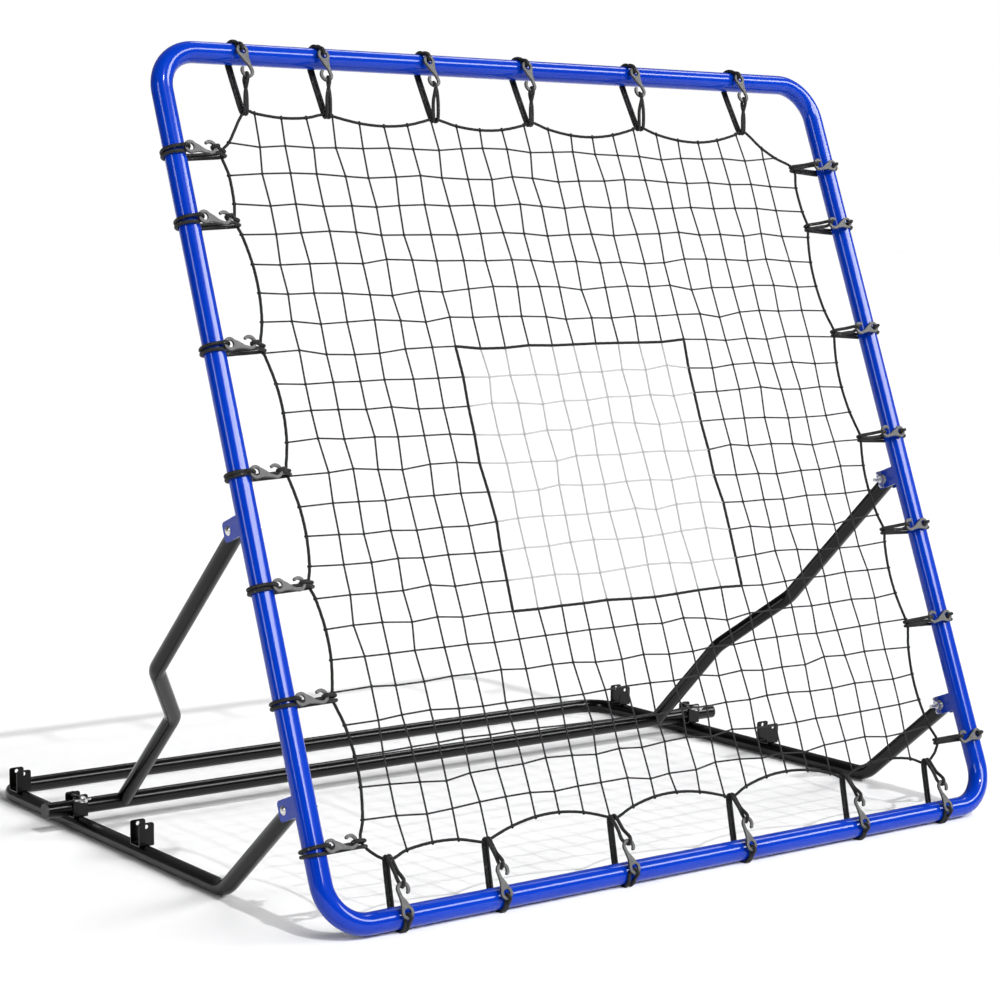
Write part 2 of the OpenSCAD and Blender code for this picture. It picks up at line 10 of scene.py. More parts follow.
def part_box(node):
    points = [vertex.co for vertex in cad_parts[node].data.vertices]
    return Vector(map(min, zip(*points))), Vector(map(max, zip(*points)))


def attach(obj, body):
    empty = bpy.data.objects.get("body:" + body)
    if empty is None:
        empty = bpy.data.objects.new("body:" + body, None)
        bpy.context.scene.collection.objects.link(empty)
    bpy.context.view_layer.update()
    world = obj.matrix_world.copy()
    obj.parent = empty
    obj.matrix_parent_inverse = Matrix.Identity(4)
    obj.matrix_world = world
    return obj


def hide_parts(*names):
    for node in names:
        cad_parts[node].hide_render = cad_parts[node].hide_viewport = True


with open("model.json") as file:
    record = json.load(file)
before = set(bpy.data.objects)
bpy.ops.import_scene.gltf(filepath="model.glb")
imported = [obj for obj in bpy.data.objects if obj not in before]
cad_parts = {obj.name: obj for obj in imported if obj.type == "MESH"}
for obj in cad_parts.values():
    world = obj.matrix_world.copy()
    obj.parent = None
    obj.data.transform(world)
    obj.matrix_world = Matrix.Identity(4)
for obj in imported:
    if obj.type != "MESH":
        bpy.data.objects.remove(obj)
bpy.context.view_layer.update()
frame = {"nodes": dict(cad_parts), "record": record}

rng = random.Random(11)

# ---------------------------------------------------------------- places, from the frame

FLOOR_Z = 0.0


def centre(node):
    low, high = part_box(node)
    return (low + high) / 2


def vertices(node):
    return np.array([v.co[:] for v in frame["nodes"][node].data.vertices])


BOTTOM = centre("frame_bottom_tube")
TOP = centre("frame_top_tube")
UP = Vector((0, TOP.y - BOTTOM.y, TOP.z - BOTTOM.z)).normalized()
BACK = Vector((0, UP.z, -UP.y))
FRAME_H = (TOP - BOTTOM).dot(UP)
HALF_W = centre("frame_right_tube").x
TUBE_R = (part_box("frame_bottom_tube")[1].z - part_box("frame_bottom_tube")[0].z) / 2


def at(x, s, n=0.0):
    """A point in the front frame: x across, s up the frame from the bottom tube, n behind its plane."""
    return Vector((x, BOTTOM.y, BOTTOM.z)) + UP * s + BACK * n


def heights(node):
    """How far up the frame each vertex of a node is."""
    return (vertices(node) - np.array([0, BOTTOM.y, BOTTOM.z])) @ np.array(UP)


def groups(values, gap):
    """The middles of the clusters in values, where clusters are more than gap apart."""
    values = np.sort(values)
    splits = np.where(np.diff(values) > gap)[0] + 1
    return [(c[0] + c[-1]) / 2 for c in np.split(values, splits)]


TOP_TIES = groups(vertices("ties_top")[:, 0], 0.03)
BOTTOM_TIES = groups(vertices("ties_bottom")[:, 0], 0.03)
SIDE_TIES = groups(heights("ties_left"), 0.03)
COLUMNS = groups(vertices("net_cords_upright")[:, 0], 0.01)
TARGET_X = (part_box("target_border")[0].x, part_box("target_border")[1].x)
TARGET_S = (heights("target_border").min(), heights("target_border").max())
ROWS = groups(heights("net_cords_level"), 0.01)
ROPE_R = 0.002
CORD_R = 0.0014
TIE_R = 0.00275
NET_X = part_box("net_border_rope")[1].x - ROPE_R
NET_TOP = heights("net_border_rope").max() - ROPE_R
NET_BOTTOM = heights("net_border_rope").min() + ROPE_R

# ---------------------------------------------------------------- mesh building


class Build:
    """Collects tubes and other pieces of mesh, and makes one object of them."""

    def __init__(self):
        self.verts = []
        self.faces = []
        self.uvs = []
        self.marks = []

    def add(self, verts, faces, uvs=None, marks=None):
        start = len(self.verts)
        self.verts.extend(tuple(v) for v in verts)
        self.faces.extend(tuple(start + i for i in f) for f in faces)
        self.uvs.extend(uvs or [[(0.0, 0.0)] * len(f) for f in faces])
        self.marks.extend(marks or [0] * len(faces))

    def tube(self, points, radius, sides=8, closed=False, lobes=0, twist=0.0):
        """A tube along points. lobes and twist, in turns a metre, make it a laid rope."""
        p = np.array([tuple(q) for q in points], float)
        n = len(p)
        ahead = np.roll(p, -1, 0) - p
        behind = p - np.roll(p, 1, 0)
        if not closed:
            ahead[-1] = behind[-1]
            behind[0] = ahead[0]
        unit = lambda a: a / np.maximum(np.linalg.norm(a, axis=1), 1e-12)[:, None]
        tangent = unit(unit(ahead) + unit(behind))
        steps = np.linalg.norm(np.diff(p, axis=0, append=p[:1]), axis=1)
        length = np.concatenate([[0], np.cumsum(steps)])
        normal = np.cross(tangent[0], (0.31, 0.87, 0.38))
        normals = []
        for t in tangent:
            normal = normal - t * normal.dot(t)
            normal = normal / np.linalg.norm(normal)
            normals.append(normal)
        normals = np.array(normals)
        side = np.cross(tangent, normals)
        turn = 2 * math.pi * np.arange(sides) / sides
        verts = []
        for i in range(n):
            for a in turn:
                r = radius
                if lobes:
                    r *= 0.88 + 0.12 * abs(math.cos(lobes / 2 * (a - twist * 2 * math.pi * length[i])))
                verts.append(p[i] + r * (math.cos(a) * normals[i] + math.sin(a) * side[i]))
        rings = n if closed else n - 1
        faces, uvs = [], []
        around = 2 * math.pi * radius
        for i in range(rings):
            j = (i + 1) % n
            u0, u1 = length[i] / around, length[i + 1] / around
            for k in range(sides):
                m = (k + 1) % sides
                faces.append((i * sides + k, i * sides + m, j * sides + m, j * sides + k))
                v0, v1 = k / sides, (k + 1) / sides
                uvs.append([(u0, v0), (u0, v1), (u1, v1), (u1, v0)])
        if not closed:
            faces.append(tuple(range(sides - 1, -1, -1)))
            faces.append(tuple((n - 1) * sides + k for k in range(sides)))
            uvs.extend([[(0.0, 0.0)] * sides] * 2)
        self.add(verts, faces, uvs)

    def bead(self, place, radius, along=None, stretch=1.0, rows=4, sides=6):
        """A small rounded knot, stretched along one direction."""
        axis = Vector(along or (0, 0, 1)).normalized()
        turn = Vector((0, 0, 1)).rotation_difference(axis)
        verts = [place + turn @ Vector((0, 0, -radius * stretch))]
        for i in range(1, rows):
            a = math.pi * i / rows
            for k in range(sides):
                b = 2 * math.pi * k / sides
                local = (math.sin(a) * math.cos(b), math.sin(a) * math.sin(b), -stretch * math.cos(a))
                verts.append(place + turn @ (Vector(local) * radius))
        verts.append(place + turn @ Vector((0, 0, radius * stretch)))
        last = len(verts) - 1
        faces = [(0, 1 + (k + 1) % sides, 1 + k) for k in range(sides)]
        for i in range(rows - 2):
            a, b = 1 + i * sides, 1 + (i + 1) * sides
            faces += [(a + k, a + (k + 1) % sides, b + (k + 1) % sides, b + k) for k in range(sides)]
        top = 1 + (rows - 2) * sides
        faces += [(top + k, top + (k + 1) % sides, last) for k in range(sides)]
        self.add(verts, faces)

    def object(self, name, *materials, floor=None):
        mesh = bpy.data.meshes.new(name)
        verts = self.verts
        if floor is not None:
            verts = [(x, y, max(z, floor)) for x, y, z in verts]
        mesh.from_pydata(verts, [], self.faces)
        layer = mesh.uv_layers.new(name="along")
        layer.data.foreach_set("uv", [c for face in self.uvs for uv in face for c in uv])
        mesh.polygons.foreach_set("material_index", self.marks)
        mesh.polygons.foreach_set("use_smooth", [True] * len(mesh.polygons))
        for m in materials:
            mesh.materials.append(m)
        mesh.update()
        piece = bpy.data.objects.new(name, mesh)
        bpy.context.scene.collection.objects.link(piece)
        return piece


def smooth(points, step, closed=False):
    """Points step apart along a curve through the given points."""
    p = [Vector(q) for q in points]
    n = len(p)
    out = []
    for i in range(n if closed else n - 1):
        if closed:
            a, b, c, d = (p[(i + k) % n] for k in (-1, 0, 1, 2))
        else:
            b, c = p[i], p[i + 1]
            a = p[i - 1] if i else b * 2 - c
            d = p[i + 2] if i + 2 < n else c * 2 - b
        parts = max(1, round((c - b).length / step))
        knots = [0.0]
        for e, f in ((a, b), (b, c), (c, d)):
            knots.append(knots[-1] + max((f - e).length, 1e-6) ** 0.5)
        for k in range(parts):
            t = knots[1] + (knots[2] - knots[1]) * k / parts
            mix = lambda e, f, t0, t1: e * ((t1 - t) / (t1 - t0)) + f * ((t - t0) / (t1 - t0))
            ab, bc, cd = (mix(*pair) for pair in (
                (a, b, knots[0], knots[1]), (b, c, knots[1], knots[2]), (c, d, knots[2], knots[3])))
            abc = mix(ab, bc, knots[0], knots[2])
            bcd = mix(bc, cd, knots[1], knots[3])
            out.append(mix(abc, bcd, knots[1], knots[2]))
    if not closed:
        out.append(p[-1])
    return out


# ---------------------------------------------------------------- materials


class Shader:
    """A principled material with short names for the nodes that give it its detail."""

    def __init__(self, name, color, roughness, metallic=0.0, coat=0.0, coat_roughness=0.03, gloss=0.5):
        self.material = bpy.data.materials.new(name)
        self.material.use_nodes = True
        self.nodes = self.material.node_tree.nodes
        self.links = self.material.node_tree.links
        self.bsdf = self.nodes["Principled BSDF"]
        for socket, value in (
                ("Base Color", (*color, 1)), ("Roughness", roughness), ("Metallic", metallic),
                ("Coat Weight", coat), ("Coat Roughness", coat_roughness), ("Specular IOR Level", gloss)):
            self.bsdf.inputs[socket].default_value = value
        self.bumps = None

    def node(self, kind, **values):
        n = self.nodes.new("ShaderNode" + kind)
        for key, value in values.items():
            if key in n.inputs:
                n.inputs[key].default_value = value
            else:
                setattr(n, key, value)
        return n

    def noise(self, scale, detail=2.0, roughness=0.5, stretch=None):
        place = self.node("TexCoord").outputs["Object"]
        if stretch:
            scaled = self.node("Mapping", Scale=stretch)
            self.links.new(place, scaled.inputs["Vector"])
            place = scaled.outputs["Vector"]
        n = self.node("TexNoise", Scale=scale, Detail=detail, Roughness=roughness)
        self.links.new(place, n.inputs["Vector"])
        return n.outputs["Fac"]

    def strands(self, bands, mirrored=False):
        """Bands that run diagonally round a tube, seamless where its ends of the wrap meet."""
        uv = self.node("UVMap", uv_map="along").outputs["UV"]
        flip = self.node("Mapping", Scale=(-1 if mirrored else 1, 1, 1))
        self.links.new(uv, flip.inputs["Vector"])
        n = self.node("TexWave", wave_type="BANDS", bands_direction="DIAGONAL", Scale=math.pi * bands / 5)
        self.links.new(flip.outputs["Vector"], n.inputs["Vector"])
        return n.outputs["Fac"]

    def math(self, operation, a, b):
        n = self.node("Math", operation=operation)
        for socket, value in zip(n.inputs, (a, b)):
            if isinstance(value, (int, float)):
                socket.default_value = value
            else:
                self.links.new(value, socket)
        return n.outputs["Value"]

    def color(self, factor, low, high, start=0.0, end=1.0):
        ramp = self.node("ValToRGB")
        for stop, place, value in zip(ramp.color_ramp.elements, (start, end), (low, high)):
            stop.position = place
            stop.color = (*value, 1)
        self.links.new(factor, ramp.inputs["Fac"])
        self.links.new(ramp.outputs["Color"], self.bsdf.inputs["Base Color"])
        return ramp

    def roughness(self, factor, low, high):
        n = self.node("MapRange")
        n.inputs["To Min"].default_value = low
        n.inputs["To Max"].default_value = high
        self.links.new(factor, n.inputs["Value"])
        self.links.new(n.outputs["Result"], self.bsdf.inputs["Roughness"])

    def bump(self, factor, distance, strength=1.0):
        n = self.node("Bump", Strength=strength, Distance=distance)
        self.links.new(factor, n.inputs["Height"])
        if self.bumps:
            self.links.new(self.bumps, n.inputs["Normal"])
        self.bumps = n.outputs["Normal"]
        self.links.new(self.bumps, self.bsdf.inputs["Normal"])


def blue_paint():
    s = Shader("blue_paint", (0.001, 0.016, 0.4), 0.25, coat=0.6, coat_roughness=0.06, gloss=0.05)
    s.color(s.noise(6, 3), (0.0004, 0.026, 0.34), (0.0006, 0.036, 0.4), 0.3, 0.7)
    s.roughness(s.noise(60, 3), 0.2, 0.28)
    s.bump(s.noise(300, 1), 0.000008)
    return s.material


def black_paint():
    s = Shader("black_paint", (0.001, 0.001, 0.001), 0.2, gloss=0.3)
    s.color(s.noise(9, 4), (0.0006, 0.0006, 0.0006), (0.002, 0.0018, 0.0016), 0.35, 0.75)
    s.roughness(s.noise(45, 4), 0.18, 0.26)
    s.bump(s.noise(420, 1), 0.00001)
    return s.material


def zinc():
    s = Shader("zinc", (0.7, 0.7, 0.69), 0.28, metallic=1.0)
    s.color(s.noise(220, 4), (0.5, 0.5, 0.49), (0.82, 0.82, 0.8), 0.3, 0.7)
    s.roughness(s.noise(500, 3, stretch=(1, 1, 4)), 0.18, 0.4)
    s.bump(s.noise(1400, 2), 0.00003)
    return s.material


def grey_plastic():
    s = Shader("hook_face", (0.09, 0.09, 0.09), 0.5, gloss=0.25)
    s.color(s.noise(160, 3), (0.07, 0.07, 0.07), (0.11, 0.11, 0.108), 0.3, 0.7)
    s.roughness(s.noise(700, 2), 0.38, 0.55)
    s.bump(s.noise(2200, 2), 0.00003)
    return s.material


# Plain dark plastic for the end caps. On the hooks it is painted shade on the side faces of the grey plastic.
def dark_plastic_and_painted_shade(name):
    s = Shader(name, (0.018, 0.018, 0.018), 0.5)
    s.roughness(s.noise(700, 2), 0.4, 0.6)
    s.bump(s.noise(1800, 2), 0.00004)
    return s.material


def elastic():
    """A braided black sheath with a few light flecks."""
    s = Shader("elastic", (0.006, 0.006, 0.006), 0.55, gloss=0.3)
    braid = s.math("MULTIPLY", s.strands(8), s.strands(8, mirrored=True))
    fleck = s.math("GREATER_THAN", s.noise(420, 1), 0.735)
    shade = s.math("ADD", s.math("MULTIPLY", braid, 0.12), s.math("MULTIPLY", fleck, 0.8))
    s.color(shade, (0.002, 0.002, 0.002), (0.3, 0.3, 0.29))
    s.roughness(braid, 0.5, 0.75)
    s.bump(braid, 0.0004)
    return s.material


def rope():
    s = Shader("rope", (0.006, 0.006, 0.006), 0.6, gloss=0.25)
    lay = s.strands(3)
    s.color(lay, (0.001, 0.001, 0.001), (0.006, 0.006, 0.006))
    s.roughness(s.noise(900, 2), 0.5, 0.7)
    s.bump(lay, 0.0003)
    return s.material


def cord(name, low, high):
    s = Shader(name, high, 0.6, gloss=0.25)
    lay = s.strands(2)
    s.color(lay, low, high)
    s.roughness(s.noise(1200, 2), 0.5, 0.7)
    s.bump(lay, 0.0002)
    return s.material


def floor_paint():
    s = Shader("pale_floor", (0.9, 0.9, 0.9), 0.8, gloss=0.2)
    s.color(s.noise(1.5, 3), (0.9, 0.9, 0.9), (0.92, 0.92, 0.92), 0.3, 0.7)
    s.bump(s.noise(80, 3), 0.0001)
    return s.material


BLUE = blue_paint()
BLACK = black_paint()
ZINC = zinc()
HOOK_FACE = grey_plastic()
# The hooks' side faces are the same grey plastic as their fronts. Their darker colour here is painted shade.
HOOK_SIDE_PAINTED_SHADE = dark_plastic_and_painted_shade("hook_side_painted_shade")
CAP = dark_plastic_and_painted_shade("end_cap")
ELASTIC = elastic()
ROPE = rope()
CORD = cord("net_cord", (0.006, 0.006, 0.006), (0.02, 0.02, 0.021))
WHITE_CORD = cord("target_cord", (0.3, 0.3, 0.3), (0.5, 0.5, 0.5))
FINISHES = {"blue_paint": BLUE, "black_paint": BLACK, "zinc_steel": ZINC, "black_plastic": CAP}

for part in frame["record"]["subparts"]:
    finish = FINISHES.get(part["material_slot"])
    if finish:
        for place in frame["nodes"][part["node"]].material_slots:
            place.material = finish

# ---------------------------------------------------------------- camera, lights and floor

# The camera's place from the middle of the bottom tube, on the floor, and its direction
CAMERA_FROM_TUBE = (-2.3075, -2.6244)
CAMERA_HEIGHT = 0.9549
CAMERA_AZIMUTH = math.radians(36.53)
CAMERA_PITCH = math.radians(-6.518)
CAMERA_ROLL = math.radians(0.4616)
CAMERA_LENS = 85.97

SUN_FROM = (0.0, -0.64, 0.77)
SUN_POWER = 1.65
SUN_SPREAD = math.radians(1.5)
FLOOR_SIZE = 400
# The room is dimmest on the camera's side: the direction away from it, and how bright it is at each end
ROOM_AHEAD = (0.6, 0.8, 0)
ROOM_DIM, ROOM_BRIGHT = 0.03, 0.26
# Each panel's direction, half width and half height in degrees, brightness, and soft edge in degrees
PANELS = [
    ((0.38, -0.74, 0.54), 32, 4, 16, 3),
    ((0.59, 0.31, 0.75), 14, 2, 7, 2),
    ((-0.9, -0.2, 0.42), 4, 12, 7, 3),
]


def add_camera():
    data = bpy.data.cameras.new("camera")
    data.lens = CAMERA_LENS
    data.clip_end = 100
    camera = bpy.data.objects.new("camera", data)
    bpy.context.scene.collection.objects.link(camera)
    forward = Vector((
        math.sin(CAMERA_AZIMUTH) * math.cos(CAMERA_PITCH),
        math.cos(CAMERA_AZIMUTH) * math.cos(CAMERA_PITCH),
        math.sin(CAMERA_PITCH)))
    level = Vector((math.cos(CAMERA_AZIMUTH), -math.sin(CAMERA_AZIMUTH), 0))
    upright = level.cross(forward)
    right = level * math.cos(CAMERA_ROLL) + upright * math.sin(CAMERA_ROLL)
    top = upright * math.cos(CAMERA_ROLL) - level * math.sin(CAMERA_ROLL)
    place = Matrix((right, top, -forward)).transposed().to_4x4()
    place.translation = (CAMERA_FROM_TUBE[0], BOTTOM.y + CAMERA_FROM_TUBE[1], CAMERA_HEIGHT)
    camera.matrix_world = place
    bpy.context.scene.camera = camera


class Studio:
    """A dim room whose soft panels light the object from far away, on a white background."""

    def __init__(self):
        world = bpy.data.worlds.new("studio")
        bpy.context.scene.world = world
        world.use_nodes = True
        self.nodes = world.node_tree.nodes
        self.links = world.node_tree.links
        self.direction = self.nodes.new("ShaderNodeTexCoord").outputs["Generated"]
        self.total = None

    def math(self, operation, *values):
        n = self.nodes.new("ShaderNodeMath")
        n.operation = operation
        for socket, value in zip(n.inputs, values):
            if isinstance(value, (int, float)):
                socket.default_value = value
            else:
                self.links.new(value, socket)
        return n.outputs["Value"]

    def along(self, vector):
        n = self.nodes.new("ShaderNodeVectorMath")
        n.operation = "DOT_PRODUCT"
        self.links.new(self.direction, n.inputs[0])
        n.inputs[1].default_value = vector
        return n.outputs["Value"]

    def fade(self, value, start, end, low=0.0, high=1.0):
        n = self.nodes.new("ShaderNodeMapRange")
        n.interpolation_type = "SMOOTHSTEP"
        for name, number in (("From Min", start), ("From Max", end), ("To Min", low), ("To Max", high)):
            n.inputs[name].default_value = number
        self.links.new(value, n.inputs["Value"])
        return n.outputs["Result"]

    def add(self, value):
        self.total = self.math("ADD", self.total, value) if self.total else value

    def panel(self, aim, half_width, half_height, strength, edge):
        """A soft-edged panel in the direction aim, with its half sizes and its edge in degrees."""
        aim = Vector(aim).normalized()
        across = aim.cross(Vector((0, 0, 1))).normalized()
        upward = across.cross(aim)
        ahead = self.along(aim)
        shape = self.fade(ahead, 0.05, 0.1)
        for vector, half in ((across, half_width), (upward, half_height)):
            reach = self.math("ABSOLUTE", self.math("ARCTAN2", self.along(vector), ahead))
            inside = self.fade(reach, math.radians(half), math.radians(half + edge), 1, 0)
            shape = self.math("MULTIPLY", shape, inside)
        self.add(self.math("MULTIPLY", shape, strength))

    def finish(self):
        sky = self.nodes["Background"]
        sky.inputs["Color"].default_value = (1, 1, 1, 1)
        seen = self.nodes.new("ShaderNodeLightPath").outputs["Is Camera Ray"]
        unseen = self.math("MULTIPLY", self.total, self.math("SUBTRACT", 1, seen))
        self.links.new(self.math("ADD", unseen, seen), sky.inputs["Strength"])


def add_stage():
    bpy.ops.mesh.primitive_plane_add(size=FLOOR_SIZE, location=(0, 0, FLOOR_Z))
    floor = bpy.context.object
    floor.name = "floor"
    floor.data.materials.append(floor_paint())
    bpy.context.scene.view_settings.view_transform = "Standard"
    studio = Studio()
    studio.add(studio.fade(studio.along(ROOM_AHEAD), -0.2, 0.9, ROOM_DIM, ROOM_BRIGHT))
    for panel in PANELS:
        studio.panel(*panel)
    studio.finish()
    data = bpy.data.lights.new("sun", "SUN")
    data.energy = SUN_POWER
    data.angle = SUN_SPREAD
    sun = bpy.data.objects.new("sun", data)
    bpy.context.scene.collection.objects.link(sun)
    sun.rotation_euler = Vector(SUN_FROM).to_track_quat("Z", "Y").to_euler()


# ---------------------------------------------------------------- net

ROPE_SAG = 0.13
ROPE_PULL = 7.0
TARGET_PULL = 1.0
NET_DROP = 0.006
KINK = 0.0013
# The laid ropes are drawn a little thicker than their cores
ROPE_BODY_R = ROPE_R * 1.15
ROPE_LAY = {"lobes": 3, "twist": 55}


def rope_outline(steps=12):
    """The border rope's first shape: its tie points in order, and points along a scallop between each two."""
    ties = [(x, NET_TOP) for x in TOP_TIES]
    ties += [(NET_X, s) for s in reversed(SIDE_TIES)]
    ties += [(x, NET_BOTTOM) for x in reversed(BOTTOM_TIES)]
    ties += [(-NET_X, s) for s in SIDE_TIES]
    ties = np.array(ties)
    outline = []
    for a, b in zip(ties, np.roll(ties, -1, 0)):
        d = b - a
        inward = np.array((d[1], -d[0]))
        for k in range(steps):
            t = k / steps
            outline.append(a + t * d + inward * ROPE_SAG * 4 * t * (1 - t))
    return ties, np.array(outline), steps


def crossings(outline, axis, value):
    """Where the outline crosses a straight cord: [(place along the outline, point)], lowest first."""
    found = []
    ahead = np.roll(outline, -1, 0)
    for i, (p, q) in enumerate(zip(outline, ahead)):
        if (p[axis] < value) != (q[axis] < value):
            t = (value - p[axis]) / (q[axis] - p[axis])
            found.append((i + t, p + t * (q - p)))
    return sorted(found, key=lambda c: c[1][1 - axis])


class Net:
    """The net in balance: cords and ropes pull on every knot until nothing moves."""

    def __init__(self):
        ties, outline, steps = rope_outline()
        self.points = []
        self.on_rope = []
        self.grid = {}
        for k, tie in enumerate(ties):
            self.on_rope.append((k * steps, self.point(tie)))
        fixed = len(ties)
        for i, x in enumerate(COLUMNS):
            for j, s in enumerate(ROWS):
                self.grid[i, j] = self.point((x, s))
        self.columns = [self.line(outline, 0, x, [self.grid[i, j] for j in range(len(ROWS))])
                        for i, x in enumerate(COLUMNS)]
        self.rows = [self.line(outline, 1, s, [self.grid[i, j] for i in range(len(COLUMNS))])
                     for j, s in enumerate(ROWS)]
        self.rope = [node for place, node in sorted(self.on_rope)]
        self.target = self.target_loop()
        self.balance(fixed)

    def point(self, xy):
        self.points.append(xy)
        return len(self.points) - 1

    def line(self, outline, axis, value, knots):
        (low, start), (high, end) = crossings(outline, axis, value)
        first, last = self.point(start), self.point(end)
        self.on_rope += [(low, first), (high, last)]
        return [first, *knots, last]

    def target_loop(self):
        near = lambda values, edge: int(np.argmin([abs(v - edge) for v in values]))
        self.cols = [near(COLUMNS, x) for x in TARGET_X]
        self.lines = [near(ROWS, s) for s in TARGET_S]
        (left, right), (low, high) = self.cols, self.lines
        loop = [self.grid[i, low] for i in range(left, right)]
        loop += [self.grid[right, j] for j in range(low, high)]
        loop += [self.grid[i, high] for i in range(right, left, -1)]
        loop += [self.grid[left, j] for j in range(high, low, -1)]
        return loop

    def balance(self, fixed):
        xy = np.array(self.points, float)
        pulls = {}
        def pull(a, b, tension):
            pulls[min(a, b), max(a, b)] = tension / max(np.linalg.norm(xy[a] - xy[b]), 0.004)
        for line in self.columns + self.rows:
            for a, b in zip(line, line[1:]):
                pull(a, b, rng.uniform(0.82, 1.18))
        for loop, tension in ((self.rope, ROPE_PULL), (self.target, TARGET_PULL)):
            for a, b in zip(loop, loop[1:] + loop[:1]):
                pull(a, b, tension)
        n = len(xy)
        system = np.zeros((n, n))
        for (a, b), q in pulls.items():
            system[a, a] += q
            system[b, b] += q
            system[a, b] -= q
            system[b, a] -= q
        free = np.arange(fixed, n)
        held = np.arange(fixed)
        xy[free] = np.linalg.solve(system[np.ix_(free, free)], -system[np.ix_(free, held)] @ xy[held])
        for k in self.grid.values():
            xy[k] += (rng.gauss(0, KINK), rng.gauss(0, KINK))
        self.xy = xy

    def place(self, k):
        x, s = self.xy[k]
        middle = (NET_TOP + NET_BOTTOM) / 2
        across = 1 - (x / NET_X) ** 2
        upward = 1 - ((s - middle) / (NET_TOP - middle)) ** 2
        return at(x, s, NET_DROP * max(across, 0) * max(upward, 0))


def hung(points, step=0.015):
    """A cord in straight stretches from knot to knot, with points step apart."""
    out = []
    for a, b in zip(points, points[1:]):
        parts = max(1, round((b - a).length / step))
        out += [a.lerp(b, k / parts) for k in range(parts)]
    out.append(points[-1])
    return out


def add_net():
    net = Net()
    rope_piece = Build()
    path = smooth([net.place(k) for k in net.rope], 0.004, closed=True)
    rope_piece.tube(path, ROPE_BODY_R, sides=10, closed=True, **ROPE_LAY)
    knots = Build()
    light_knots = Build()
    dark = {"upright": Build(), "level": Build()}
    light = {"upright": Build(), "level": Build()}
    for way, lines, across, along in (("upright", net.columns, net.cols, net.lines),
                                      ("level", net.rows, net.lines, net.cols)):
        for i, line in enumerate(lines):
            places = [net.place(k) for k in line]
            first, last = along[0] + 1, along[1] + 1
            if across[0] <= i <= across[1]:
                dark[way].tube(hung(places[:first + 1]), CORD_R, sides=6)
                dark[way].tube(hung(places[last:]), CORD_R, sides=6)
                if across[0] < i < across[1]:
                    light[way].tube(hung(places[first:last + 1]), CORD_R, sides=6)
            else:
                dark[way].tube(hung(places), CORD_R, sides=6)
            for end, next_one in ((places[0], places[1]), (places[-1], places[-2])):
                rope_piece.bead(end, ROPE_R * 1.35, next_one - end, 1.5)
    border = set(net.target)
    for (i, j), k in net.grid.items():
        inside = net.cols[0] < i < net.cols[1] and net.lines[0] < j < net.lines[1]
        if k not in border:
            group = light_knots if inside else knots
            group.bead(net.place(k), CORD_R * 1.5, UP + Vector((0.8, 0, 0)), 1.35)
    target = Build()
    loop = [net.place(k) for k in net.target]
    target.tube(hung(loop + loop[:1], 0.004)[:-1], ROPE_BODY_R, sides=10, closed=True, **ROPE_LAY)
    for k in net.target:
        target.bead(net.place(k), ROPE_R * 1.2, UP, 1.2)
    pieces = [
        (rope_piece.object("border_rope", ROPE), "border_rope", ["net_border_rope"]),
        (target.object("target_rope", ROPE), "border_rope", ["target_border"]),
        (dark["upright"].object("net_cords_up", CORD), "net_cord", ["net_cords_upright"]),
        (dark["level"].object("net_cords_across", CORD), "net_cord", ["net_cords_level"]),
        (light["upright"].object("target_cords_up", WHITE_CORD), "target_cord", ["target_cords_upright"]),
        (light["level"].object("target_cords_across", WHITE_CORD), "target_cord", ["target_cords_level"]),
        (knots.object("net_knots", CORD), "net_cord", []),
        (light_knots.object("target_knots", WHITE_CORD), "target_cord", []),
    ]
    for piece, slot, nodes in pieces:
        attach(piece, "front_frame")
        if nodes:
            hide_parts(*nodes)


# ---------------------------------------------------------------- ties and hooks

HOOK_T = 0.004
HOOK_BEVEL = 0.0007
EYE_R = 0.010
EYE_HOLE_R = 0.0053
HOOK_REACH = 0.032
HOOK_OUT_R = 0.0108
HOOK_IN_R = 0.006
RING_R = TUBE_R + 0.0002 + TIE_R
ROPE_RING_R = ROPE_R + 0.0003 + TIE_R
PAIR = TIE_R + 0.0002


class Side:
    """One side of the frame: towards points to the net, and along points to the hooks' open side."""

    def __init__(self, name, places, towards, along, gap, eye, plate):
        self.name = name
        self.places = places
        self.towards = towards
        self.along = along
        self.gap = gap
        self.eye = eye
        self.plate = plate

    def point(self, k, u, v, w):
        x, s = self.places[k]
        (a, b), (c, d) = self.towards, self.along
        return at(x + u * a + w * c, s + u * b + w * d, v)


SIDES = [
    Side("top", [(x, FRAME_H) for x in TOP_TIES], (0, -1), (-1, 0), FRAME_H - NET_TOP, 0.004, -0.0225),
    Side("bottom", [(x, 0) for x in BOTTOM_TIES], (0, 1), (1, 0), NET_BOTTOM, 0.004, -0.0225),
    Side("left", [(-HALF_W, s) for s in SIDE_TIES], (1, 0), (0, 1), HALF_W - NET_X, 0.015, -0.0205),
    Side("right", [(HALF_W, s) for s in SIDE_TIES], (-1, 0), (0, 1), HALF_W - NET_X, 0.004, -0.0215),
]


def arc(x, y, r, start, end, steps):
    turns = [math.radians(start + (end - start) * k / steps) for k in range(steps + 1)]
    return [(x + r * math.cos(a), y + r * math.sin(a)) for a in turns]


